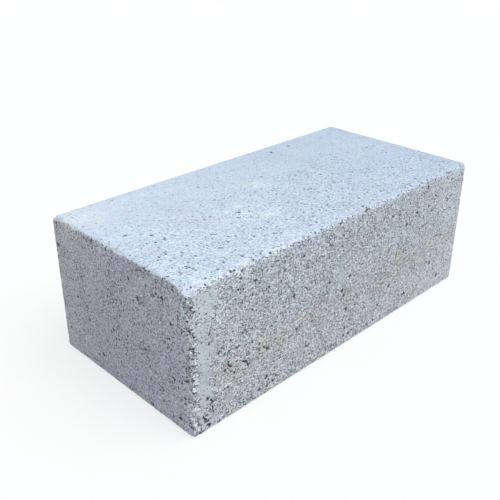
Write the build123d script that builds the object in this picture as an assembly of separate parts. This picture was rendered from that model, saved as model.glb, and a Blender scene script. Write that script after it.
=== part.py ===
from build123d import *
import os
import random

# A solid concrete block, pressed in one piece in a steel mould. It lies flat, as it is
# stacked and laid. All sizes are in millimetres. The origin is the centre of the bottom
# face, X runs along the length, Y across the width and Z up.

# Overall size: a 400 x 200 x 150 walling module, less one 10 mm mortar joint each way
block_length = 390.0
block_width = 190.0
block_height = 140.0

# Arrises: the pressing head rounds the long top ones most and leaves the end ones crisp.
# The bottom ones are nearly square, as they formed on a pallet
long_top_arris_radius = 5.0
end_top_arris_radius = 2.0
upright_arris_radius = 2.0
bottom_arris_radius = 1.0

# Broken corner: how far the break reaches from the corner along each of its three arrises
break_along_length = 14.0
break_along_width = 20.0
break_down = 8.0

# Crumbled upright arris below the broken corner: granules of aggregate have come out of
# it and left round sockets, which lie on both faces and stray wider towards the bottom
crumble_top_gap = 9.0
crumble_bottom_gap = 8.0
socket_pitch = 6.0
socket_radius_small = 2.4
socket_radius_large = 4.2
socket_depth_small = 0.9
socket_depth_large = 1.9
stray_on_end = 4.5
stray_on_side_top = 2.5
stray_on_side_bottom = 8.0
crumble_seed = 14

# Low, wide bite out of the bottom arris of the long side, just beside the crumbled arris
foot_bite_from_end = 4.5
foot_bite_length = 8.6
foot_bite_height = 1.8
foot_bite_depth = 1.3

# Round bite at the head of the far upright arris
head_knock_radius = 3.6
head_knock_offset = 1.2

# The arris between the long side and the end face that the damage is on
near_x = -block_length / 2
far_x = block_length / 2
near_y = -block_width / 2


def upright_section(width, shoulder_radius):
    """Outline of the block seen square on: rounded shoulders over nearly square feet."""
    outline = Rectangle(width, block_height, align=(Align.CENTER, Align.MIN))
    shoulders = outline.vertices().group_by(Axis.Y)[-1]
    outline = fillet(shoulders, shoulder_radius)
    feet = outline.vertices().group_by(Axis.Y)[0]
    return fillet(feet, bottom_arris_radius)


def pressed_block():
    """The sound block: what its plan and its two upright sections have in common."""
    plan = RectangleRounded(block_length, block_width, upright_arris_radius)
    from_front = Plane.XZ * upright_section(block_length, end_top_arris_radius)
    from_end = Plane.YZ * upright_section(block_width, long_top_arris_radius)
    body = extrude(plan, block_height)
    body &= extrude(from_front, block_width / 2, both=True)
    body &= extrude(from_end, block_length / 2, both=True)
    return body


def corner_break():
    """Everything outside the slanting face that the knock left at the top corner."""
    outward = Vector(-1 / break_along_length, -1 / break_along_width, 1 / break_down)
    start = (near_x + break_along_length, near_y, block_height)
    reach = 2 * (break_along_length + break_along_width + break_down)
    slant = Plane(origin=start, z_dir=outward.normalized())
    return slant * Box(reach, reach, reach, align=(Align.CENTER, Align.CENTER, Align.MIN))


def granule_sockets():
    """Balls that bite the sockets: two at each height, one on each face of the arris."""
    chance = random.Random(crumble_seed)
    top = block_height - crumble_top_gap
    height = crumble_bottom_gap
    balls = []
    while height < top:
        share_up = (height - crumble_bottom_gap) / (top - crumble_bottom_gap)
        stray_on_side = stray_on_side_bottom + (stray_on_side_top - stray_on_side_bottom) * share_up
        for stray, on_side in ((stray_on_side, True), (stray_on_end, False)):
            radius = chance.uniform(socket_radius_small, socket_radius_large)
            proud = radius - chance.uniform(socket_depth_small, socket_depth_large)
            inward = chance.uniform(0, stray)
            rise = height + chance.uniform(-socket_pitch / 2, socket_pitch / 2)
            if on_side:
                centre = (near_x + inward, near_y - proud, rise)
            else:
                centre = (near_x - proud, near_y + inward, rise)
            balls.append(Pos(*centre) * Sphere(radius))
        height += socket_pitch
    return balls


def foot_bite():
    """A ball, centred outside and below, that takes a sliver of the stated sizes."""
    half_length = foot_bite_length / 2
    below = (half_length ** 2 - foot_bite_height ** 2) / (2 * foot_bite_height)
    plan_radius = (half_length ** 2 + foot_bite_depth ** 2) / (2 * foot_bite_depth)
    centre = (near_x + foot_bite_from_end, near_y + foot_bite_depth - plan_radius, -below)
    return Pos(*centre) * Sphere((plan_radius ** 2 + below ** 2) ** 0.5)


def head_knock():
    """A ball that bites the top corner at the far end of the long side."""
    centre = (far_x + head_knock_offset, near_y - head_knock_offset, block_height - head_knock_offset)
    return Pos(*centre) * Sphere(head_knock_radius)


block = pressed_block()
block -= corner_break()
block -= granule_sockets()
block -= foot_bite()
block -= head_knock()

os.makedirs("parts", exist_ok=True)
export_step(block, "parts/block.step")
print("block volume in litres", round(block.volume / 1e6, 3))
print("block is valid", block.is_valid)
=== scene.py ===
# %% [markdown]
# # A solid concrete block
#
# The real block is one lump of semi-dry concrete, vibrated and pressed in a steel mould. Its
# top was smoothed by the pressing head, its sides show the open texture of sand and small
# stones that the mould walls dragged on, and one upright arris has crumbled.
#
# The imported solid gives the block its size, its rounded arrises, its broken corner and the
# sockets in the crumbled arris. This lesson gives it a skin: relief that is too fine for the
# solid, and a concrete material.

# %% Load the block
import math
import random

import bmesh
import bpy
import numpy as np
from mathutils import Euler, Matrix, Vector, noise
from mathutils.bvhtree import BVHTree
from mathutils.kdtree import KDTree


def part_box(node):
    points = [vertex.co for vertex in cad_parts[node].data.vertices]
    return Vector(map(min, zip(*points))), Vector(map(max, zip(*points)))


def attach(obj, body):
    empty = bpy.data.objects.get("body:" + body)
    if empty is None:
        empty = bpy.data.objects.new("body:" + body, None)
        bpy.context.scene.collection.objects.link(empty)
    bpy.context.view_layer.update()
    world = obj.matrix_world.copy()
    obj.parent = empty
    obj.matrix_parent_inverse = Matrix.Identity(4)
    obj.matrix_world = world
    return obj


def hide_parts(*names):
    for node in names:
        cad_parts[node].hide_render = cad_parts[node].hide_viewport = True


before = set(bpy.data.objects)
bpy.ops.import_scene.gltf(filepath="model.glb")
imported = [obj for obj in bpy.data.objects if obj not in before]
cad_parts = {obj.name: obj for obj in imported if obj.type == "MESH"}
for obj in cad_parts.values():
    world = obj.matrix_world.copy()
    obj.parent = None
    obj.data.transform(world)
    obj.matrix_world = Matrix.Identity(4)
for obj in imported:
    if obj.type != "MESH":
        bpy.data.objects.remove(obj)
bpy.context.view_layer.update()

MM = 0.001
low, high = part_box("block")
half_length = (high.x - low.x) / 2
half_width = (high.y - low.y) / 2
height = high.z
print("block", [round(side / MM, 1) for side in high - low], "mm")

# %% [markdown]
# ## The camera
#
# A camera could be placed by eye, but a block's straight edges give its place away. The eight
# edges that the photograph shows clearly were enough to solve where the camera stood, how it was
# turned and how long its lens was. The numbers below are that answer. The camera looks down on
# the crumbled arris, with the long side to the right and the end face to the left.

# %% Place the camera
VIEW_AZIMUTH = math.radians(-44.60)
VIEW_ELEVATION = math.radians(26.93)
VIEW_ROLL = math.radians(0.10)
CAMERA_PLACE = Vector((-0.4743, -0.4429, 0.3993))
LENS_MM = 50.75
NEAREST_SEEN = 10 * MM

scene = bpy.context.scene
camera = bpy.data.objects.new("camera", bpy.data.cameras.new("camera"))
scene.collection.objects.link(camera)
camera.data.lens = LENS_MM
camera.data.clip_start = NEAREST_SEEN
turned = Euler((math.pi / 2 - VIEW_ELEVATION, 0, VIEW_AZIMUTH)).to_matrix()
rolled = turned @ Matrix.Rotation(VIEW_ROLL, 3, "Z")
camera.matrix_world = Matrix.Translation(CAMERA_PLACE) @ rolled.to_4x4()
scene.camera = camera
print("camera stands", round(CAMERA_PLACE.length, 3), "m from the block's foot")

# %% [markdown]
# ## The light
#
# The block was lit by an open sky: the top is brightest, the long side gets some of the light
# that comes over it, and the end is in the shade. A picture of a sky could light it, but matt
# concrete would hardly show the difference. One very large, soft lamp from above and a plain
# world do the same. Their strengths add up to about 1 on the top face, so a colour renders there
# as it is written.
#
# A world and a material are both node trees, and three helpers build them. One gives the
# camera's own rays a shader of their own. The sky uses it to look white to the camera, while it
# lights the block with its own colour.

# %% Hang the lamp
LAMP_STRENGTH = 0.515
LAMP_FROM = Vector((0.19, -0.41, 0.89))
LAMP_ANGLE = math.radians(50)

scene.view_settings.view_transform = "Standard"
lamp = bpy.data.objects.new("sky_lamp", bpy.data.lights.new("sky_lamp", "SUN"))
scene.collection.objects.link(lamp)
lamp.data.energy = LAMP_STRENGTH * math.pi
lamp.data.angle = LAMP_ANGLE
lamp.rotation_euler = LAMP_FROM.to_track_quat("Z", "Y").to_euler()
lamp_on_top = LAMP_STRENGTH * LAMP_FROM.normalized().z
print("lamp light on the top face", round(lamp_on_top, 2))

# %% Light the sky
SKY_STRENGTH = 0.54
SKY_COLOUR = (0.97, 0.99, 1.03, 1)
WHITE = (1, 1, 1, 1)


def empty_tree(owner):
    """The node tree of a world or a material, with nothing in it yet."""
    owner.use_nodes = True
    owner.node_tree.nodes.clear()
    return owner.node_tree


def add(tree, kind, inputs=None, **settings):
    """Adds a node, sets it up, and fills its inputs with values or with other sockets."""
    node = tree.nodes.new(kind)
    for name, value in settings.items():
        setattr(node, name, value)
    for socket, value in (inputs or {}).items():
        if isinstance(value, bpy.types.NodeSocket):
            tree.links.new(value, node.inputs[socket])
        else:
            node.inputs[socket].default_value = value
    return node


def seen_by_camera(tree, shader, otherwise):
    """Shows the camera one shader, and every other ray another."""
    rays = add(tree, "ShaderNodeLightPath")
    either = {0: rays.outputs["Is Camera Ray"], 1: otherwise, 2: shader}
    return add(tree, "ShaderNodeMixShader", either).outputs[0]


world = bpy.data.worlds.new("open_sky")
tree = empty_tree(world)
sky = add(tree, "ShaderNodeBackground", {"Color": SKY_COLOUR, "Strength": SKY_STRENGTH}).outputs[0]
white = add(tree, "ShaderNodeBackground", {"Color": WHITE, "Strength": 1.0}).outputs[0]
add(tree, "ShaderNodeOutputWorld", {"Surface": seen_by_camera(tree, white, sky)})
scene.world = world
print("all light on the top face", round(SKY_STRENGTH + lamp_on_top, 2))

# %% [markdown]
# ## The floor
#
# The photograph is a cut-out on white. The white sky alone would do that, but then the block
# would float. So it stands on a floor that is white to the camera too. Part of that white stays
# ordinary matt paint, so that the block's soft shadow still falls on it. To every other ray the
# floor is a mid grey, or it would throw too much light up the sides.

# %% Lay the floor
FLOOR_HALF_SIDE = 3.0
FLOOR_DROP = 0.3 * MM
FLOOR_GREY = (0.48, 0.48, 0.48, 1)
SHADOW_SHARE = 0.3


def object_from(bm, name):
    """Makes an object at the origin out of a bmesh, and frees the bmesh."""
    mesh = bpy.data.meshes.new(name)
    bm.to_mesh(mesh)
    bm.free()
    piece = bpy.data.objects.new(name, mesh)
    scene.collection.objects.link(piece)
    return piece


bm = bmesh.new()
bmesh.ops.create_grid(bm, x_segments=1, y_segments=1, size=FLOOR_HALF_SIDE)
bmesh.ops.translate(bm, verts=bm.verts, vec=(0, 0, -FLOOR_DROP))
floor = object_from(bm, "floor")
floor_paint = bpy.data.materials.new("floor_paint")
tree = empty_tree(floor_paint)
glow = add(tree, "ShaderNodeEmission", {"Color": WHITE, "Strength": 1.0}).outputs[0]
matt_white = add(tree, "ShaderNodeBsdfDiffuse", {"Color": WHITE}).outputs[0]
matt_grey = add(tree, "ShaderNodeBsdfDiffuse", {"Color": FLOOR_GREY}).outputs[0]
white = add(tree, "ShaderNodeMixShader", {0: SHADOW_SHARE, 1: glow, 2: matt_white}).outputs[0]
add(tree, "ShaderNodeOutputMaterial", {"Surface": seen_by_camera(tree, white, matt_grey)})
floor.data.materials.append(floor_paint)
print("floor", 2 * FLOOR_HALF_SIDE, "m wide")

# %% [markdown]
# ## A skin of even quads
#
# The solid's own mesh has huge triangles on its flat faces, and nothing there can be pushed in.
# Subdividing it would keep those slivers. A voxel remesh of a copy gives even squares all over.
# It rounds the arrises off a little, so each vertex is later set back on the nearest point of the
# solid. The copy is merged first, because the solid's triangles are loose.

# %% Remesh a copy of the solid
SKIN_VOXEL = 3.0 * MM
MERGE_WITHIN = 0.01 * MM


def merged_solid():
    """The solid's own mesh as a bmesh, with its triangles joined."""
    bm = bmesh.new()
    bm.from_mesh(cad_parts["block"].data)
    bmesh.ops.remove_doubles(bm, verts=bm.verts, dist=MERGE_WITHIN)
    return bm


bm = merged_solid()
solid_surface = BVHTree.FromBMesh(bm)
skin = object_from(bm, "block_skin")
remesh = skin.modifiers.new("even_quads", "REMESH")
remesh.mode = "VOXEL"
remesh.voxel_size = SKIN_VOXEL
graph = bpy.context.evaluated_depsgraph_get()
even_quads = bpy.data.meshes.new_from_object(skin.evaluated_get(graph))
skin.modifiers.clear()
skin.data = even_quads
print("even quads", len(skin.data.polygons))

# %% [markdown]
# ## The pits that show
#
# A pit is where a stone or an air bubble lay against the mould. Pits could be left to the
# material, but then the outline and the shadows would miss them, so they are pushed into the
# mesh. Here each is planned as a place and a radius. The larger ones lie where the photograph
# shows them. A slit is a row of small pits that run together.

# %% List the pits that show
# On the long side, along the block and up from the floor, then the radius, in mm
LONG_SIDE_PITS = [
    (-124, 121, 1.7), (-120, 117, 1.0), (-112, 108, 1.2), (-139, 136, 1.3), (-140, 129, 1.2),
    (-9, 65, 2.2), (-6, 58, 1.5), (-1, 42, 1.9), (5, 10, 2.1), (-2, 11, 1.5), (-110, 48, 1.9),
    (-114, 52, 1.2), (-153, 46, 1.2), (-135, 53, 1.2), (-132, 53, 1.0), (-98, 13, 1.5),
    (-72, 50, 1.7), (-174, 26, 1.5), (-17, 136, 1.9), (93, 123, 1.7), (140, 118, 1.7),
    (166, 105, 1.5), (129, 89, 1.5), (153, 26, 1.5), (-175, 93, 1.2), (-139, 77, 1.2),
    (-128, 64, 1.3), (-139, 85, 1.2), (-105, 69, 1.3),
]
# On the near end, across the block and up from the floor
END_PITS = [
    (48, 125, 1.5), (33, 136, 1.4), (11, 135, 1.4), (-13, 123, 1.3), (-42, 123, 1.3),
    (-30, 106, 1.8), (-52, 117, 1.6), (-63, 120, 1.8), (-72, 101, 1.8), (46, 77, 1.2),
    (49, 49, 1.4), (11, 57, 1.5), (-69, 86, 1.5), (88, 134, 1.5), (-36, 59, 1.4),
]
# On the top, along the block and across it
TOP_PITS = [
    (-70, -18, 2.3), (-78, -26, 1.7), (-172, 14, 1.9), (-156, -1, 1.7), (-153, -14, 1.6),
    (-127, -82, 2.0), (122, -40, 1.7), (127, -47, 1.5), (57, -44, 1.4), (65, -78, 1.5),
    (-188, 54, 1.4), (-13, -44, 1.4),
]
# Across the crumbled arris, below zero on the end and above zero on the long side, and up
ARRIS_PITS = [
    (-2, 127, 1.3), (-4, 122, 1.0), (0, 115, 1.1), (1, 108, 1.0), (-3, 87, 0.9), (1, 56, 1.1),
    (-9, 37, 1.0), (1, 27, 0.9), (-2, 8, 0.9),
]
# Slits, each as the places that it runs through and then its radius
ARRIS_SLITS = [
    ([(-3, 132), (0, 130)], 1.1), ([(-1, 124), (1, 124)], 0.8), ([(-6, 125), (-4, 123)], 0.9),
    ([(-3, 120), (0, 118)], 1.3), ([(-4, 113), (-4, 111)], 0.9), ([(-5, 105), (-1, 106)], 1.0),
    ([(-4, 99), (0, 102), (3, 100)], 1.0), ([(4, 98), (5, 97)], 0.9), ([(-4, 93), (0, 95)], 0.8),
    ([(0, 88), (4, 83)], 1.2), ([(-4, 80), (-4, 78)], 0.9), ([(-5, 69), (0, 72), (4, 71)], 1.0),
    ([(-6, 56), (0, 59), (4, 57)], 1.0), ([(-1, 47), (3, 44)], 1.1), ([(1, 36), (3, 32)], 0.9),
    ([(3, 24), (3, 20)], 0.9), ([(-1, 16), (1, 15)], 1.0),
]
LONG_SIDE_SLITS = [
    ([(-184, 16), (-181, 12)], 1.3), ([(-182, 10), (-178, 9.6)], 1.2),
    ([(-181, 6.6), (-176, 4.3)], 1.2), ([(-178, 3.8), (-177.4, 3.8)], 1.5),
    ([(-192.5, 0.9), (-188.5, 0.7)], 1.7), ([(-176, 30), (-174, 27)], 1.2),
    ([(-174, 22), (-173, 15)], 0.8), ([(-156, 54.3), (-153, 51)], 1.2),
    ([(-160, 49.8), (-158, 50.3)], 1.2), ([(-149, 44), (-149, 42)], 1.2),
    ([(-139, 49.5), (-134.7, 46.6), (-133, 43)], 1.2),
]
TOP_SLITS = [([(-171, -64), (-169, -71)], 1.1)]
print("pits listed", len(LONG_SIDE_PITS + END_PITS + TOP_PITS + ARRIS_PITS))
print("slits listed", len(LONG_SIDE_SLITS + TOP_SLITS + ARRIS_SLITS))

# %% Plan the pits that show
SLIT_STEP = 0.8 * MM

pits = []


def plan_pit(place, radius):
    pits.append((place, radius))


def plan_slit(stops, radius):
    """A row of pits from each stop to the next."""
    for start, end in zip(stops, stops[1:]):
        steps = max(1, round((end - start).length / SLIT_STEP))
        for step in range(steps + 1):
            plan_pit(start.lerp(end, step / steps), radius)


def on_long_side(along, up):
    return Vector((along * MM, -half_width, up * MM))


def on_near_end(across, up):
    return Vector((-half_length, across * MM, up * MM))


def on_top(along, across):
    return Vector((along * MM, across * MM, height))


def on_arris(across, up):
    return Vector((-half_length + max(across, 0) * MM, -half_width + max(-across, 0) * MM, up * MM))


for place_on, listed_pits, listed_slits in (
    (on_long_side, LONG_SIDE_PITS, LONG_SIDE_SLITS),
    (on_near_end, END_PITS, []),
    (on_top, TOP_PITS, TOP_SLITS),
    (on_arris, ARRIS_PITS, ARRIS_SLITS),
):
    for first, second, radius in listed_pits:
        plan_pit(place_on(first, second), radius * MM)
    for stops, radius in listed_slits:
        plan_slit([place_on(*stop) for stop in stops], radius * MM)
print("pits that show, with those in the slits", len(pits))

# %% [markdown]
# ## The chance pits
#
# Between those, smaller pits are everywhere. An even scatter would look like a printed pattern,
# so a slow noise decides where they gather. There are more of them on the open-textured sides
# than on the pressed top, and small ones outnumber large ones.

# %% Scatter the chance pits
PITS_PER_SQUARE_METRE = {"side": 3400, "end": 2200, "top": 1000, "bottom": 1000}
PIT_RADIUS_SMALL = 0.8 * MM
PIT_RADIUS_LARGE = 2.2 * MM
PIT_SIZE_POWER = 2.5
PIT_MARGIN = 4 * MM
PIT_CLUSTER = 24 * MM
CLUSTER_BLUR = 0.3

chance = random.Random(21)


def faces_of(kind):
    """The faces of one kind, each as its centre and its two half extents."""
    middle = Vector((0, 0, height / 2))
    x, y, z = Vector((half_length, 0, 0)), Vector((0, half_width, 0)), Vector((0, 0, height / 2))
    return {
        "side": [(middle - y, x, z), (middle + y, x, z)],
        "end": [(middle - x, y, z), (middle + x, y, z)],
        "top": [(middle + z, x, y)],
        "bottom": [(middle - z, x, y)],
    }[kind]


for kind, density in PITS_PER_SQUARE_METRE.items():
    for centre, one_way, other_way in faces_of(kind):
        for _ in range(int(4 * one_way.length * other_way.length * density)):
            one_share = chance.uniform(-1, 1) * (1 - PIT_MARGIN / one_way.length)
            other_share = chance.uniform(-1, 1) * (1 - PIT_MARGIN / other_way.length)
            size = chance.random() ** PIT_SIZE_POWER
            place = centre + one_way * one_share + other_way * other_share
            if noise.noise(place / PIT_CLUSTER) > chance.uniform(-CLUSTER_BLUR, CLUSTER_BLUR):
                plan_pit(place, PIT_RADIUS_SMALL + (PIT_RADIUS_LARGE - PIT_RADIUS_SMALL) * size)
print("pits", len(pits))

# %% [markdown]
# ## The crumbled strip
#
# The mould's corner was worn, and the arris that it formed has lost its paste, so the granules
# show, with deep crevices between them. The strip is narrow at the top and spreads onto the long
# side further down. It could be painted on the skin as a mask, but a formula stays with the
# arris when the block's size changes. It gives a number from 0 to 1, which says how far inside
# the strip a point lies.
#
# To lay granules in it, the strip is unrolled: one coordinate runs across the arris, below zero
# on the end and above zero on the long side, and the other runs up.

# %% Mark and unroll the strip
STRIP_ON_END = 5.0 * MM
STRIP_ON_SIDE_TOP = 2.0 * MM
STRIP_ON_SIDE_FOOT = 7.0 * MM
STRIP_FADE = 2.5 * MM
STRIP_RAGGED = 8.0 * MM
STRIP_UNEVEN = 0.6
# Each face of the arris reads a stretch of the noise of its own, this far from the middle
STRIP_NOISE_APART = 3
STRIP_BELOW_TOP = 7.0 * MM
STRIP_ABOVE_FLOOR = 7.0 * MM
STRIP_WIDEST = 20 * MM


def ease(value):
    """A smooth step from 0 to 1."""
    value = min(max(value, 0.0), 1.0)
    return value * value * (3 - 2 * value)


def unrolled(point):
    """A point's place in the unrolled strip: across the arris, and up."""
    return Vector((point.x + half_length - (point.y + half_width), point.z, 0))


def in_strip(point):
    """How far a point lies inside the crumbled strip, from 0 to 1."""
    if max(point.x + half_length, point.y + half_width) > STRIP_WIDEST:
        return 0.0
    across, up, _ = unrolled(point)
    own_stretch = math.copysign(STRIP_NOISE_APART, across)
    ragged = 1 + STRIP_UNEVEN * noise.noise(Vector((0, own_stretch, up / STRIP_RAGGED)))
    reach_on_side = STRIP_ON_SIDE_FOOT + (STRIP_ON_SIDE_TOP - STRIP_ON_SIDE_FOOT) * up / height
    reach = ragged * (reach_on_side if across > 0 else STRIP_ON_END)
    inside = 1 - ease((abs(across) - reach) / STRIP_FADE)
    below_break = ease((height - STRIP_BELOW_TOP - up) / STRIP_FADE)
    above_foot = ease((up - STRIP_ABOVE_FLOOR) / STRIP_FADE)
    return inside * below_break * above_foot


strip_length = height - STRIP_BELOW_TOP - STRIP_ABOVE_FLOOR
print("strip", round(strip_length / MM), "mm long")

# %% [markdown]
# ## The granules
#
# Each granule could be a ball of its own, but balls laid on a surface look like beads. In the
# real arris they sit in the paste and only their crowns stand out, so here each is a dome of the
# relief. The largest lie where the photograph shows them, and the rest are laid by chance, as
# close together as their sizes allow.

# %% Plan the granules
GRANULE_RADIUS_SMALL = 1.1 * MM
GRANULE_RADIUS_LARGE = 3.2 * MM
GRANULE_SIZE_POWER = 2
GRANULE_TRIES = 1500
GRANULE_APART = 0.78
GRANULE_LOW = 0.35
PAST_STRIP = 1.1

# Across the arris and up from the floor, then the radius, in mm
GRANULES_SEEN = [
    (1, 126, 2.6), (1, 121, 2.4), (-3, 115, 2.4), (-1, 118, 1.9), (-3, 109, 2.2), (1, 111, 2.4),
    (3, 104, 2.4), (0, 98, 2.4), (-3, 90, 2.6), (4, 89, 2.9), (0, 84, 3.6), (2, 77, 3.8),
    (0, 64, 2.6), (5, 61, 2.6), (7, 53, 2.6), (-5, 47, 2.2), (-6, 43, 2.2), (2, 39, 2.9),
    (4, 30, 2.6), (1, 19, 2.6), (3, 12, 2.4),
]

granules = []


def plan_granule(spot, radius, crown):
    granules.append((spot, radius, crown))


def search_tree(spots):
    """A tree that finds which of some points are near another."""
    found = KDTree(len(spots))
    for index, spot in enumerate(spots):
        found.insert(spot, index)
    found.balance()
    return found


for across, up, radius in GRANULES_SEEN:
    plan_granule(Vector((across * MM, up * MM, 0)), radius * MM, 1.0)
for _ in range(GRANULE_TRIES):
    across = chance.uniform(-STRIP_ON_END, STRIP_ON_SIDE_FOOT)
    spot = Vector((across, chance.uniform(0, height), 0)) * PAST_STRIP
    size = chance.random() ** GRANULE_SIZE_POWER
    radius = GRANULE_RADIUS_SMALL + (GRANULE_RADIUS_LARGE - GRANULE_RADIUS_SMALL) * size
    if all((spot - other).length > GRANULE_APART * (radius + reach) for other, reach, _ in granules):
        plan_granule(spot, radius, chance.uniform(GRANULE_LOW, 1.0))
granule_tree = search_tree([spot for spot, _, _ in granules])
print("granules", len(granules))

# %% [markdown]
# ## Finer squares where the relief is
#
# Pits and worn arrises need more vertices than flat concrete does. Splitting only the faces near
# them, up to three times, keeps the mesh light. After each split the vertices are set on the
# solid, so its sockets and its broken corner get sharper with the squares.

# %% Refine the skin
ARRIS_BAND = 6 * MM
PIT_RIM = 1.6 * MM
PIT_WALL = 0.3 * MM
LARGE_PIT = 1.15 * MM
STRIP_CORE = 0.1

pit_tree = search_tree([place for place, _ in pits])


def arris_distance(point):
    """How far a point of the surface is from the nearest arris: the middle of its three depths."""
    depths = (half_length - abs(point.x), half_width - abs(point.y), min(point.z, height - point.z))
    return sorted(depths)[1]


def near_pit(point, beyond, at_least=0.0):
    _, index, away = pit_tree.find(point)
    radius = pits[index][1]
    return radius > at_least and away < radius + beyond


def refine(bm, wanted):
    """Splits in four each face whose middle is wanted, and sets all vertices on the solid."""
    edges = {edge for face in bm.faces if wanted(face.calc_center_median()) for edge in face.edges}
    bmesh.ops.subdivide_edges(bm, edges=list(edges), cuts=1, use_grid_fill=True)
    for vertex in bm.verts:
        vertex.co = solid_surface.find_nearest(vertex.co)[0]


bm = bmesh.new()
bm.from_mesh(skin.data)
refine(bm, lambda at: arris_distance(at) < ARRIS_BAND or near_pit(at, PIT_RIM) or in_strip(at) > 0)
refine(bm, lambda at: near_pit(at, PIT_WALL) or in_strip(at) > 0)
refine(bm, lambda at: near_pit(at, 0, LARGE_PIT) or in_strip(at) > STRIP_CORE)
bm.to_mesh(skin.data)
bm.free()
print("triangles in the skin", sum(len(face.vertices) - 2 for face in skin.data.polygons))

# %% [markdown]
# ## Relief
#
# A Displace modifier could push a texture in, but a texture knows nothing of arrises, pits or
# granules. So each vertex is moved a little along its normal by what lies there, always inwards,
# and the block never outgrows its size. Four things add up: a faint waviness, nibbles along the
# arrises, the pits, and the crevices between the granules.
#
# The nibbles are deepest on the top arris of the near end, which the photograph shows as a wavy
# line. In places paste still fills the crevices, more on the long side than on the end, and
# hardly at all around the granules that the photograph shows.
#
# Wear comes in patches. One helper makes them all: a noise, eased to 0 and 1, in which a level
# sets how much is worn and a contrast how sharp the rims are.

# %% Shape the wear and the pits
NIBBLE_LENGTH = 5 * MM
NIBBLE_LEVEL = 0.5
NIBBLE_CONTRAST = 1.6
NIBBLE_DEPTH = 0.25 * MM
WAVY_ARRIS_LENGTH = 10 * MM
WAVY_ARRIS_LEVEL = 0.2
WAVY_ARRIS_CONTRAST = 1.8
WAVY_ARRIS_DEPTH = 1.8 * MM
WAVY_ARRIS_BAND = 4 * MM
PIT_RAGGED = 1.6 * MM
PIT_UNEVEN = 0.8
PIT_STEEP = 2.0
PIT_REACH = 1.7 * PIT_RADIUS_LARGE


def patchy(point, length, level, contrast):
    """A share from 0 to 1 that comes in patches of about a length."""
    return ease(level + contrast * noise.noise(point / length))


def nibble_depth(point):
    """Depth worn off the arrises, in patches that fade out across the arris band."""
    from_arris = arris_distance(point)
    depth = NIBBLE_DEPTH * patchy(point, NIBBLE_LENGTH, NIBBLE_LEVEL, NIBBLE_CONTRAST)
    depth *= 1 - ease(from_arris / ARRIS_BAND)
    if point.x < -half_length + WAVY_ARRIS_BAND and point.z > height - WAVY_ARRIS_BAND:
        wavy = patchy(point, WAVY_ARRIS_LENGTH, WAVY_ARRIS_LEVEL, WAVY_ARRIS_CONTRAST)
        depth += WAVY_ARRIS_DEPTH * wavy * (1 - ease(from_arris / WAVY_ARRIS_BAND))
    return depth


def pit_depth(point):
    """Depth of the pits around a point: bowls as deep as their radius, with uneven rims."""
    ragged = 1 + PIT_UNEVEN * noise.noise(point / PIT_RAGGED)
    depth = 0.0
    for _, index, away in pit_tree.find_range(point, PIT_REACH):
        radius = pits[index][1]
        depth = max(depth, radius * ease(PIT_STEEP * (1 - away / (radius * ragged))))
    return depth


places = [vertex.co.copy() for vertex in skin.data.vertices]
normals = [vertex.normal.copy() for vertex in skin.data.vertices]
pit_depths = [pit_depth(place) for place in places]
print("deepest pit", round(max(pit_depths) / MM, 1), "mm")

# %% Shape the crevices
GRANULE_RAGGED = 1.6 * MM
GRANULE_UNEVEN = 0.5
GRANULE_REACH = 5.0 * MM
PASTE_LEFT_LENGTH = 7 * MM
PASTE_LEFT_ON_SIDE = 0.42
PASTE_LEFT_ON_END = 0.32
PASTE_LEFT_CONTRAST = 1.6
PASTE_FILLS = 0.8
BARE_GRANULE = 0.5


def granule_dome(point):
    """How high a granule stands at a point, from 0 in a crevice to 1 on the highest crowns."""
    ragged = 1 + GRANULE_UNEVEN * noise.noise(point / GRANULE_RAGGED)
    dome = 0.0
    for _, index, away in granule_tree.find_range(unrolled(point), GRANULE_REACH):
        _, radius, crown = granules[index]
        share = 1 - (away * ragged / radius) ** 2
        dome = max(dome, crown * math.sqrt(max(share, 0.0)))
    return dome


def paste_left(point):
    """How much paste still fills the crevices around a point, from 0 to 1."""
    spot = unrolled(point)
    level = PASTE_LEFT_ON_SIDE if spot.x > 0 else PASTE_LEFT_ON_END
    if granule_tree.find(spot)[1] < len(GRANULES_SEEN):
        level -= BARE_GRANULE
    return patchy(point, PASTE_LEFT_LENGTH, level, PASTE_LEFT_CONTRAST)


crevices = []
stones = []
for place in places:
    strip = in_strip(place)
    dome = granule_dome(place) if strip > 0 else 0.0
    bare = strip * (1 - PASTE_FILLS * paste_left(place)) if strip > 0 else 0.0
    crevices.append(bare * (1 - dome))
    stones.append(bare * dome)
print("vertices in the crevices", sum(crevice > 0 for crevice in crevices))

# %% Push the relief in
WAVE_LENGTH = 22 * MM
WAVE_LEVEL = 0.5
WAVE_CONTRAST = 0.5
WAVE_DEPTH = 0.1 * MM
CREVICE_DEPTH = 1.6 * MM

for vertex, place, normal, pit, crevice in zip(skin.data.vertices, places, normals, pit_depths, crevices):
    wave = WAVE_DEPTH * patchy(place, WAVE_LENGTH, WAVE_LEVEL, WAVE_CONTRAST)
    moved = place - normal * (wave + nibble_depth(place) + pit + crevice * CREVICE_DEPTH)
    vertex.co = Vector(min(max(value, start), end) for value, start, end in zip(moved, low, high))
skin.data.update()
skin.data.polygons.foreach_set("use_smooth", [True] * len(skin.data.polygons))
print("vertices moved", len(places))

# %% [markdown]
# ## The marks
#
# In some places the paste has closed the texture. In others water has left a brown stain, a faint
# tide mark or a pale bloom. They could be painted on an image, but each is no more than a place
# and a radius with an uneven rim. So each kind becomes a number from 0 to 1 on every vertex, an
# attribute that the material reads by name.

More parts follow.
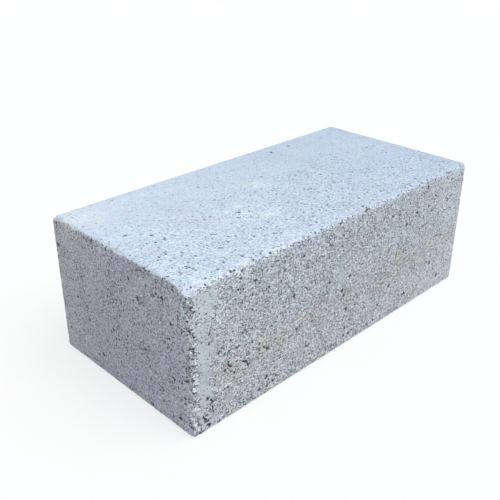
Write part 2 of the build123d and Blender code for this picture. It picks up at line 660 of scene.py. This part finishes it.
# %% List the marks
# On the long side, along the block and up from the floor, then the radius, in mm
CLOSED_PATCHES = [
    (-12, 80, 8), (-33, 40, 8), (178, 134, 9), (-66, 23, 7), (176, 85, 7), (-157, 20, 6),
    (42, 127, 6), (-124, 10, 6), (-183, 127, 10), (-177, 119, 12), (-184, 101, 7), (-183, 89, 7),
    (-177, 76, 10), (-182, 68, 8), (-179, 58, 8), (-185, 49, 6), (-181, 42, 8), (-181, 32, 7),
    (-189, 22, 5),
]
STAINS = [
    (-150, 44, 16), (-129, 50, 12), (-22, 41, 9), (14, 70, 8), (119, 11, 8), (84, 66, 9),
    (135, 41, 9),
]
PALE_ON_SIDE = [(-176, 122, 26), (-138, 127, 14), (-182, 76, 12), (-184, 42, 10), (-100, 134, 10)]
# On the near end, across the block and up from the floor
PALE_ON_END = [(9, 134, 7), (20, 134, 6)]
# On the top, along the block and across it
PALE_ON_TOP = [
    (-11, 17, 13), (-57, -37, 9), (-50, -41, 9), (-67, -21, 8), (-62, -6, 7), (-176, 70, 25),
]
# A faint tide mark along the long side, as the places that it runs through
TIDE_MARK = [(-158, 47), (-137, 50), (-75, 54), (-12, 57), (32, 48), (70, 49), (150, 61), (184, 66)]
TIDE_RADIUS = 12
TIDE_STEP = 5
# Marks of each kind on each face that the photograph doesn't show, and their radii
UNSEEN_MARKS = 9
UNSEEN_CLOSED = (3, 8)
UNSEEN_STAINS = (5, 13)
print("marks listed", len(CLOSED_PATCHES + STAINS + PALE_ON_SIDE + PALE_ON_END + PALE_ON_TOP))

# %% Place the marks
def marks_from(listed, place_on):
    return [(place_on(first, second), radius * MM) for first, second, radius in listed]


def marks_unseen(radii):
    """Chance marks on the far long side, the far end and the bottom."""
    marks = []
    for centre, one_way, other_way in (faces_of("side")[1], faces_of("end")[1], faces_of("bottom")[0]):
        for _ in range(UNSEEN_MARKS):
            place = centre + one_way * chance.uniform(-1, 1) + other_way * chance.uniform(-1, 1)
            marks.append((place, chance.uniform(*radii) * MM))
    return marks


def marks_along(stops, radius, step):
    """Marks on the long side, a step apart, from each stop to the next."""
    marks = []
    for start, end in zip(stops, stops[1:]):
        first, last = on_long_side(*start), on_long_side(*end)
        count = math.ceil((last - first).length / (step * MM))
        marks += [(first.lerp(last, index / count), radius * MM) for index in range(count)]
    return marks


closed_marks = marks_from(CLOSED_PATCHES, on_long_side) + marks_unseen(UNSEEN_CLOSED)
strong_stains = marks_from(STAINS, on_long_side)
faint_stains = marks_along(TIDE_MARK, TIDE_RADIUS, TIDE_STEP) + marks_unseen(UNSEEN_STAINS)
pale_marks = marks_from(PALE_ON_SIDE, on_long_side) + marks_from(PALE_ON_END, on_near_end)
pale_marks += marks_from(PALE_ON_TOP, on_top)
print("closed patches", len(closed_marks), "and pale marks", len(pale_marks))
print("stains", len(strong_stains), "and fainter ones", len(faint_stains))

# %% Write the marks
MARK_RAGGED = 9 * MM
MARK_UNEVEN = 0.35
MARK_FADE = 1.3
FAINT_SHARE = 0.6


def spread_marks(marks):
    """For every vertex, 1 in the middle of the nearest mark and 0 beyond its uneven rim."""
    here = np.array([place[:] for place in places])
    uneven = np.array([MARK_UNEVEN * noise.noise(place / MARK_RAGGED) for place in places])
    share = np.zeros(len(here))
    for centre, radius in marks:
        away = np.linalg.norm(here - np.array(centre[:]), axis=1) / radius
        share = np.maximum(share, np.clip(MARK_FADE - away + uneven, 0, 1))
    return share


def write_attribute(mesh, name, values):
    """Puts a number from 0 to 1 on every vertex, under a name."""
    values = np.clip(np.array(values, dtype=float), 0, 1)
    mesh.attributes.new(name, "FLOAT", "POINT").data.foreach_set("value", values)
    print(name, "mean", round(float(np.mean(values)), 4))


write_attribute(skin.data, "closed", spread_marks(closed_marks))
stains = np.maximum(spread_marks(strong_stains), FAINT_SHARE * spread_marks(faint_stains))
write_attribute(skin.data, "stain", stains)
write_attribute(skin.data, "bloom", spread_marks(pale_marks))

# %% [markdown]
# ## Hollows and granules
#
# Light hardly reaches the bottom of a pit or a crevice, and dust stays there, so the material
# darkens it. Pits and crevices were measured while they were made, but the sockets came with the
# solid. They are found with a straightedge: laid on the block, it would touch its convex hull,
# and they lie under that. The strongest of the three says how dark a place is.
#
# The material also needs to know where bare granules are, as they are paler than paste, and how far the
# skin looked up before the relief was pushed in. The top was pressed smooth, and paste that looks up near
# the top gets painted blue sky light.

# %% Write the hollows and the granules
PIT_DARK_AT = 0.7 * MM
SOCKET_DARK_FROM = 1.0 * MM
SOCKET_DARK_AT = 6.0 * MM
CREVICE_DARK = 0.38

bm = merged_solid()
hull = bmesh.ops.convex_hull(bm, input=bm.verts)
hull_faces = {item for item in hull["geom"] if isinstance(item, bmesh.types.BMFace)}
bmesh.ops.delete(bm, geom=[face for face in bm.faces if face not in hull_faces], context="FACES_ONLY")
straightedge = BVHTree.FromBMesh(bm)
bm.free()

under = np.array([straightedge.find_nearest(place)[3] for place in places])
in_socket = (under - SOCKET_DARK_FROM) / (SOCKET_DARK_AT - SOCKET_DARK_FROM)
in_pit = np.array(pit_depths) / PIT_DARK_AT
in_crevice = CREVICE_DARK * np.array(crevices)
write_attribute(skin.data, "hollow", np.maximum.reduce([in_socket, in_pit, in_crevice]))
write_attribute(skin.data, "stone", stones)
write_attribute(skin.data, "upward", [normal.z for normal in normals])

# %% [markdown]
# ## Open texture
#
# Semi-dry concrete is grains with too little paste to fill the gaps. Seen from a metre away
# that is a fine mottle of pale grains and dark gaps. A thresholded noise gives gaps of uneven
# size and shape, which a plain Voronoi cell would not, and a Voronoi texture gives each grain
# its own tone. A second, coarser noise adds pores. Pinholes are small, dark and apart, so they
# come from the middles of chosen cells of another Voronoi texture.
#
# The effect is built as a group, so that its parts can be tested by themselves. Its openness
# input runs from closed paste to open gaps, and its pinholes input is the share of cells that
# have one.

# %% Start the group
# The grains are a little flatter than they are wide, as the concrete was pressed downwards
SQUASH = (1, 1, 1.2)


def group(name, inputs, outputs):
    """An empty shader group, with its input sockets to read and its output sockets to fill."""
    made = bpy.data.node_groups.new(name, "ShaderNodeTree")
    for direction, sockets in (("INPUT", inputs), ("OUTPUT", outputs)):
        for socket, kind in sockets.items():
            made.interface.new_socket(socket, in_out=direction, socket_type="NodeSocket" + kind)
    return made, made.nodes.new("NodeGroupInput").outputs, made.nodes.new("NodeGroupOutput").inputs


open_texture, given, result = group(
    "open_texture",
    {"Place": "Vector", "Openness": "Float", "Pinholes": "Float"},
    {"Height": "Float", "Tone": "Float", "Gap": "Float"},
)
squash = {0: given["Place"], 1: SQUASH}
pressed = add(open_texture, "ShaderNodeVectorMath", squash, operation="MULTIPLY").outputs[0]
print("group with", len(given) - 1, "inputs and", len(result) - 1, "outputs")

# %% Open the gaps and the pores
GAPS_PER_METRE = 560.0
PORES_PER_METRE = 240.0
# Each opens where its noise is under a limit, which rises from closed to open texture
GAP_LIMIT = 0.32
GAP_LIMIT_RISE = 0.16
GAP_RIM = 0.09
PORE_LIMIT = 0.27
PORE_LIMIT_RISE = 0.12
PORE_RIM = 0.06
RIM_FROM = -0.01


def maths(tree, operation, a, b=0.0, c=0.0):
    return add(tree, "ShaderNodeMath", {0: a, 1: b, 2: c}, operation=operation).outputs[0]


def spread(tree, value, start, end, to_start=0.0, to_end=1.0):
    """Eases a value from one range to another."""
    ranges = {"Value": value, "From Min": start, "From Max": end, "To Min": to_start, "To Max": to_end}
    return add(tree, "ShaderNodeMapRange", ranges, interpolation_type="SMOOTHSTEP").outputs[0]


def noise_at(tree, place, scale, detail=2.0, roughness=0.5, output="Fac"):
    values = {"Vector": place, "Scale": scale, "Detail": detail, "Roughness": roughness}
    return add(tree, "ShaderNodeTexNoise", values).outputs[output]


def opened(grain, limit, rise, rim):
    """1 where a noise lies under its limit, and 0 beyond the rim."""
    limit = maths(open_texture, "MULTIPLY_ADD", given["Openness"], rise, limit)
    return spread(open_texture, maths(open_texture, "SUBTRACT", limit, grain), RIM_FROM, rim)


crumbs = noise_at(open_texture, pressed, GAPS_PER_METRE, detail=3.0, roughness=0.6)
lumps = noise_at(open_texture, pressed, PORES_PER_METRE)
gap = opened(crumbs, GAP_LIMIT, GAP_LIMIT_RISE, GAP_RIM)
pore = opened(lumps, PORE_LIMIT, PORE_LIMIT_RISE, PORE_RIM)
gap = maths(open_texture, "MAXIMUM", gap, pore)
print("gaps", round(1000 / GAPS_PER_METRE, 1), "mm apart, pores", round(1000 / PORES_PER_METRE, 1))

# %% Prick the pinholes
PINHOLES_PER_METRE = 270.0
# In shares of a cell
PINHOLE_RADIUS = 0.13
PINHOLE_RADIUS_MORE = 0.24
PINHOLE_SIZE_POWER = 2.0
PINHOLE_UNEVEN = 0.4
PINHOLE_RIM_FROM = 0.26
PINHOLE_RIM_TO = 0.16
CHOICE_BLUR = 0.02

cells = {"Vector": pressed, "Scale": PINHOLES_PER_METRE}
holes = add(open_texture, "ShaderNodeTexVoronoi", cells).outputs
hole_chance = add(open_texture, "ShaderNodeSeparateColor", {0: holes["Color"]}).outputs
size = maths(open_texture, "POWER", hole_chance["Green"], PINHOLE_SIZE_POWER)
reach = maths(open_texture, "MULTIPLY_ADD", size, PINHOLE_RADIUS_MORE, PINHOLE_RADIUS)
away = maths(open_texture, "MULTIPLY_ADD", crumbs, PINHOLE_UNEVEN, holes["Distance"])
past = maths(open_texture, "SUBTRACT", away, reach)
pinhole = spread(open_texture, past, PINHOLE_RIM_FROM, PINHOLE_RIM_TO)
over = maths(open_texture, "SUBTRACT", hole_chance["Red"], given["Pinholes"])
chosen = spread(open_texture, over, CHOICE_BLUR, -CHOICE_BLUR)
gap = maths(open_texture, "MAXIMUM", gap, maths(open_texture, "MULTIPLY", pinhole, chosen))
print("pinhole cells", round(1000 / PINHOLES_PER_METRE, 1), "mm wide")

# %% Raise and tone the grains
GRAINS_PER_METRE = 640.0
GRAIN_EDGE = 0.8
GRAIN_CROWN = 0.1
GRAIN_HEIGHT = 0.4
GAP_HEIGHT = -0.8
CRUMB_TONE = 2.0

cells = {"Vector": pressed, "Scale": GRAINS_PER_METRE}
grains = add(open_texture, "ShaderNodeTexVoronoi", cells).outputs
grain_tone = add(open_texture, "ShaderNodeSeparateColor", {0: grains["Color"]}).outputs["Red"]
centred = maths(open_texture, "SUBTRACT", grain_tone, 0.5)
mottle = maths(open_texture, "MULTIPLY_ADD", crumbs, CRUMB_TONE, -CRUMB_TONE / 2)
crown = spread(open_texture, grains["Distance"], GRAIN_EDGE, GRAIN_CROWN)
raised = maths(open_texture, "MULTIPLY_ADD", crown, GRAIN_HEIGHT, crumbs)
relief = maths(open_texture, "MULTIPLY_ADD", gap, GAP_HEIGHT, raised)
open_texture.links.new(maths(open_texture, "ADD", centred, mottle), result["Tone"])
open_texture.links.new(relief, result["Height"])
open_texture.links.new(gap, result["Gap"])
print("open texture has", len(open_texture.nodes), "nodes")

# %% [markdown]
# ## Telling the faces apart
#
# One material covers the whole block, because it is one piece, but its faces differ. The ends
# could be told apart by their normals, but each pit has normals of its own. So the end's share
# comes from how near a place is to the end, and the top's from how far the skin looked up before
# the pits were pushed in. The top's share gets a ragged rim, as the pressing head left it.
#
# The texture is coarse up to the middle of the block and finer towards its far end and its far
# side, and the top gets smoother towards that side too.

# %% Share out the faces
FINE_PER_METRE = 320.0
TOP_RAGGED = 0.35
TOP_FROM = 0.55
TOP_TO = 0.85
END_FROM = 4.5 * MM
END_TO = 2.0 * MM

concrete = bpy.data.materials.new("pressed_concrete")
tree = empty_tree(concrete)


def attribute(tree, name):
    return add(tree, "ShaderNodeAttribute", attribute_name=name).outputs["Fac"]


def roughened(tree, value, grain, amount):
    """A value that a noise moves up and down, so that what it bounds gets a ragged rim."""
    return maths(tree, "MULTIPLY_ADD", maths(tree, "SUBTRACT", grain, 0.5), amount, value)


place = add(tree, "ShaderNodeTexCoord").outputs["Object"]
axes = add(tree, "ShaderNodeSeparateXYZ", {0: place}).outputs
fine = noise_at(tree, place, FINE_PER_METRE)
upward = attribute(tree, "upward")
top_share = spread(tree, roughened(tree, upward, fine, TOP_RAGGED), TOP_FROM, TOP_TO)
from_middle = maths(tree, "ABSOLUTE", axes["X"])
end_share = spread(tree, from_middle, half_length - END_FROM, half_length - END_TO)
print("faces shared by", len(tree.nodes), "nodes")

# %% Set how coarse the texture is
COARSE_FAR_END = 0.72
COARSE_LOST_ACROSS = 0.35
COARSE_LEAST = 0.6
TOP_COARSE_NEAR = 1.3
TOP_COARSE_FAR = 0.7
# Where the top changes from one to the other, in half widths from the near side
TOP_COARSE_FROM = 0.8
TOP_COARSE_TO = 1.6


def blend_value(tree, share, a, b):
    """Mixes two values."""
    return add(tree, "ShaderNodeMix", {0: share, 2: a, 3: b}).outputs[0]


def by_top(on_sides, on_top_face):
    """One value on the sides and another on the top, eased from one to the other."""
    return spread(tree, top_share, 0.0, 1.0, on_sides, on_top_face)


from_end = maths(tree, "ADD", axes["X"], half_length)
from_side = maths(tree, "ADD", axes["Y"], half_width)
coarse = spread(tree, from_end, half_length, 2 * half_length, 1.0, COARSE_FAR_END)
coarse = maths(tree, "MULTIPLY_ADD", from_side, -COARSE_LOST_ACROSS / (2 * half_width), coarse)
coarse = maths(tree, "MAXIMUM", coarse, COARSE_LEAST)
near_line, far_line = TOP_COARSE_FROM * half_width, TOP_COARSE_TO * half_width
top_coarse = spread(tree, from_side, near_line, far_line, TOP_COARSE_NEAR, TOP_COARSE_FAR)
coarse = maths(tree, "MULTIPLY", coarse, blend_value(tree, top_share, 1.0, top_coarse))
print("coarseness from", COARSE_LEAST * TOP_COARSE_FAR, "to", TOP_COARSE_NEAR)

# %% [markdown]
# ## The concrete's colour
#
# An image of concrete could give the colour all at once, but it would repeat over the block and break at
# the arrises. Mixed in layers, each part of it can be set against the photograph. The colour starts as
# pale paste, with its own tint on each face and in the closed patches, and the granules and the blooms
# paler. Where the skin looks up near the top, the paste is partly the pressed top's own colour and partly
# painted blue sky light. Then it gets the grains' tones, the sand's faint tints and the stains. At the
# foot of the ends it gets painted light. Last, it takes painted shade, with some dirt and dust, in the
# gaps and hollows.

# %% Lay the open texture over the block
OPEN_SIDE = 0.60
OPEN_TOP = 0.20
OPEN_LOST_CLOSED = 0.55
PINHOLES_SIDE = 0.75
PINHOLES_END = 0.30
PINHOLES_TOP = 0.46
PATCHES_PER_METRE = 62.0
PATCHES_CLOSER = -0.22
PATCHES_OPENER = 0.16
CLOSED_RAGGED = 0.9
CLOSED_FROM = 0.35
CLOSED_TO = 0.65
# Nearly all values of a noise lie between these
NOISE_LOW = 0.3
NOISE_HIGH = 0.7

closed = roughened(tree, attribute(tree, "closed"), fine, CLOSED_RAGGED)
closed = spread(tree, closed, CLOSED_FROM, CLOSED_TO)
patches = noise_at(tree, place, PATCHES_PER_METRE)
patches = spread(tree, patches, NOISE_LOW, NOISE_HIGH, PATCHES_CLOSER, PATCHES_OPENER)
openness = maths(tree, "ADD", patches, by_top(OPEN_SIDE, OPEN_TOP))
openness = maths(tree, "MULTIPLY_ADD", closed, -OPEN_LOST_CLOSED, openness)
pinholes = blend_value(tree, end_share, PINHOLES_SIDE, PINHOLES_END)
pinholes = blend_value(tree, top_share, pinholes, maths(tree, "MULTIPLY", top_coarse, PINHOLES_TOP))
pinholes = maths(tree, "ADD", pinholes, patches)
mix = {"Place": place, "Openness": openness, "Pinholes": pinholes}
texture = add(tree, "ShaderNodeGroup", mix, node_tree=open_texture).outputs
print("texture puts out", [socket.name for socket in texture])

# %% Colour the paste
PASTE = (0.639, 0.70, 0.766, 1)
LOW_PASTE = (0.669, 0.708, 0.755, 1)
CLOSED_PASTE = (0.66, 0.725, 0.785, 1)
LOW_CLOSED_PASTE = (0.65, 0.68, 0.76, 1)
END_PASTE = (0.633, 0.655, 0.755, 1)
END_FAR_PASTE = (0.69, 0.69, 0.71, 1)
# The top's paste colours hold painted blue sky light as well as the pressed top's own colour
SKYLIT_TOP_PASTE = (0.64, 0.745, 0.865, 1)
SKYLIT_TOP_FAR_PASTE = (0.56, 0.665, 0.80, 1)
STONE = (0.82, 0.85, 0.88, 1)
BLOOM_COLOUR = (0.78, 0.87, 0.93, 1)
BLOOM_SHARE = 0.65
# The end's far colour starts here, in half widths from the middle
END_FAR_FROM = 0.05
END_RAGGED = 60 * MM
# The low colours come in on the way down, between these shares of the height
LOW_FROM = 0.7
LOW_TO = 0.25
# The top's colour is partly the pressed top's own paste and partly painted blue sky light. It comes in
# between these depths below it, and where the skin looks up
TOP_COLOUR_FROM = 15 * MM
TOP_COLOUR_TO = 9 * MM
LOOKS_UP_FROM = 0.1
LOOKS_UP_TO = 0.8


def blend(tree, share, a, b, blend_type="MIX"):
    """Mixes two colours."""
    colours = {0: share, 6: a, 7: b}
    return add(tree, "ShaderNodeMix", colours, data_type="RGBA", blend_type=blend_type).outputs[2]


low_down = spread(tree, axes["Z"], LOW_FROM * height, LOW_TO * height)
across = roughened(tree, axes["Y"], fine, END_RAGGED)
far_across = spread(tree, across, END_FAR_FROM * half_width, half_width)
far_along = spread(tree, axes["X"], -half_length, half_length)
end_paste = blend(tree, far_across, END_PASTE, END_FAR_PASTE)
paste = blend(tree, end_share, blend(tree, low_down, PASTE, LOW_PASTE), end_paste)
paste = blend(tree, closed, paste, blend(tree, low_down, CLOSED_PASTE, LOW_CLOSED_PASTE))
paste = blend(tree, attribute(tree, "stone"), paste, STONE)
near_top = spread(tree, axes["Z"], height - TOP_COLOUR_FROM, height - TOP_COLOUR_TO)
looks_up = spread(tree, upward, LOOKS_UP_FROM, LOOKS_UP_TO)
# Paste that looks up near the top takes painted blue sky light
pressed_and_skylit_share = maths(tree, "MULTIPLY", looks_up, near_top)
paste = blend(tree, pressed_and_skylit_share, paste, blend(tree, far_along, SKYLIT_TOP_PASTE, SKYLIT_TOP_FAR_PASTE))
bloom = maths(tree, "MULTIPLY", attribute(tree, "bloom"), BLOOM_SHARE)
paste = blend(tree, bloom, paste, BLOOM_COLOUR)
print("paste mixed, with", len(tree.nodes), "nodes so far")

# %% Tone and tint the grains
TONE_SIDE = 0.88
TONE_TOP = 0.36
TONE_CLOSED = 0.25
TONE_END = 0.7
CLOUDS_PER_METRE = 22.0
CLOUDS_DARK = 0.97
CLOUDS_PALE = 1.03
# The sides get paler between these shares of the block's length past its middle
PALER_FAR = 0.11
FAR_FROM = 0.2
FAR_TO = 0.46
# The ends are paler at the foot, up to this share of the height, and beside the near long side. The
# paleness at the foot is painted light, in place of the light that a bright ground throws up
PAINTED_FOOT_LIGHT = 0.07
FOOT_HEIGHT = 0.4
PALER_BESIDE = 0.045
BESIDE_FROM = 16 * MM
BESIDE_TO = 5 * MM
TINTS_PER_METRE = 95.0
TINT_STRENGTH = 0.16
TINT_BASE = 0.92

clouds = noise_at(tree, place, CLOUDS_PER_METRE, detail=3.0)
clouds = spread(tree, clouds, NOISE_LOW, NOISE_HIGH, CLOUDS_DARK, CLOUDS_PALE)
along = maths(tree, "MULTIPLY", axes["X"], 1 / (2 * half_length))
rise = maths(tree, "MULTIPLY", spread(tree, along, FAR_FROM, FAR_TO), by_top(PALER_FAR, 0.0))
# Painted light at the foot of the ends, to offset the shade near the floor
foot = spread(tree, axes["Z"], FOOT_HEIGHT * height, 0.0, 0.0, PAINTED_FOOT_LIGHT)
beside = spread(tree, from_side, BESIDE_FROM, BESIDE_TO, 0.0, PALER_BESIDE)
clouds = maths(tree, "ADD", clouds, rise)
clouds = maths(tree, "ADD", clouds, maths(tree, "MULTIPLY", foot, end_share))
clouds = maths(tree, "ADD", clouds, maths(tree, "MULTIPLY", beside, end_share))
strength = maths(tree, "MULTIPLY", by_top(TONE_SIDE, TONE_TOP), coarse)
strength = maths(tree, "MULTIPLY", strength, spread(tree, closed, 0.0, 1.0, 1.0, TONE_CLOSED))
strength = maths(tree, "MULTIPLY", strength, spread(tree, end_share, 0.0, 1.0, 1.0, TONE_END))
tone = maths(tree, "MULTIPLY_ADD", texture["Tone"], strength, clouds)
tones = add(tree, "ShaderNodeCombineXYZ", {0: tone, 1: tone, 2: tone}).outputs[0]
paste = blend(tree, 1.0, paste, tones, "MULTIPLY")
tints = noise_at(tree, place, TINTS_PER_METRE, output="Color")
faint = {0: tints, 1: [TINT_STRENGTH] * 3, 2: [TINT_BASE] * 3}
tint = add(tree, "ShaderNodeVectorMath", faint, operation="MULTIPLY_ADD").outputs[0]
paste = blend(tree, 1.0, paste, tint, "MULTIPLY")
print("grains toned, with", len(tree.nodes), "nodes so far")

# %% Stain the grains
STAIN_TINT = (0.90, 0.80, 0.60, 1)
# A stain is stronger in some grains than in others, and stronger in blotches
STAIN_LEAST = 0.3
STAIN_MOST = 0.9
STAIN_GRAINS_FROM = 0.35
STAIN_GRAINS_TO = 0.65
BLOTCHES_PER_METRE = 38.0
BLOTCH_LEAST = 0.45
BLOTCH_FROM = 0.4
BLOTCH_TO = 0.58

soaked = spread(tree, fine, STAIN_GRAINS_FROM, STAIN_GRAINS_TO, STAIN_LEAST, STAIN_MOST)
blotches = noise_at(tree, place, BLOTCHES_PER_METRE)
blotches = spread(tree, blotches, BLOTCH_FROM, BLOTCH_TO, BLOTCH_LEAST, 1.0)
stained = maths(tree, "MULTIPLY", attribute(tree, "stain"), soaked)
stained = maths(tree, "MULTIPLY", stained, blotches)
paste = blend(tree, stained, paste, STAIN_TINT, "MULTIPLY")
print("stained, with", len(tree.nodes), "nodes so far")

# %% Paint shade, with some dirt and dust, into the gaps and the hollows
GAP_COLOUR = (0.10, 0.11, 0.12, 1)
GAP_SHARE_SIDE = 0.95
GAP_SHARE_TOP = 0.66
PIT_COLOUR = (0.06, 0.07, 0.075, 1)
PIT_SHARE_SIDE = 0.86
PIT_SHARE_TOP = 0.7
PIT_EDGES_PER_METRE = 800.0
PIT_EDGE_RAGGED = 0.7
DEEP_FROM = 0.25
DEEP_TO = 0.8

# The gaps are dark mostly as painted shade, where light hardly reaches between the grains, and partly
# from dirt
gap_share = maths(tree, "MULTIPLY", coarse, by_top(GAP_SHARE_SIDE, GAP_SHARE_TOP))
paste = blend(tree, maths(tree, "MULTIPLY", texture["Gap"], gap_share), paste, GAP_COLOUR)
# The hollows are dark as painted shade, with some dust
edges = noise_at(tree, place, PIT_EDGES_PER_METRE)
deep = roughened(tree, attribute(tree, "hollow"), edges, PIT_EDGE_RAGGED)
deep = spread(tree, deep, DEEP_FROM, DEEP_TO)
dark = maths(tree, "MULTIPLY", deep, blend_value(tree, top_share, PIT_SHARE_SIDE, PIT_SHARE_TOP))
paste = blend(tree, dark, paste, PIT_COLOUR)
print("colour done, with", len(tree.nodes), "nodes")

# %% [markdown]
# ## Surface and dressing
#
# Grains and gaps are too small for the mesh, so a bump bends the light over them, less on the pressed
# top. Dry concrete is matt all over. The finished skin then takes the place of the plain node: it rides
# on the body that the node belongs to, and the concrete is its only material.

# %% Finish the surface
BUMP_DISTANCE = 0.7 * MM
BUMP_SIDE = 1.0
BUMP_TOP = 0.6
MATT = 0.9

strength = blend_value(tree, top_share, BUMP_SIDE, BUMP_TOP)
bumps = {"Strength": strength, "Distance": BUMP_DISTANCE, "Height": texture["Height"]}
bump = add(tree, "ShaderNodeBump", bumps).outputs[0]
finish = {"Base Color": paste, "Roughness": MATT, "Normal": bump}
surface = add(tree, "ShaderNodeBsdfPrincipled", finish).outputs[0]
add(tree, "ShaderNodeOutputMaterial", {"Surface": surface})
print("material has", len(tree.nodes), "nodes")

# %% Dress the block
skin.data.materials.clear()
skin.data.materials.append(concrete)
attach(skin, "root")
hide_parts("block")
print("dressed in", skin.name)
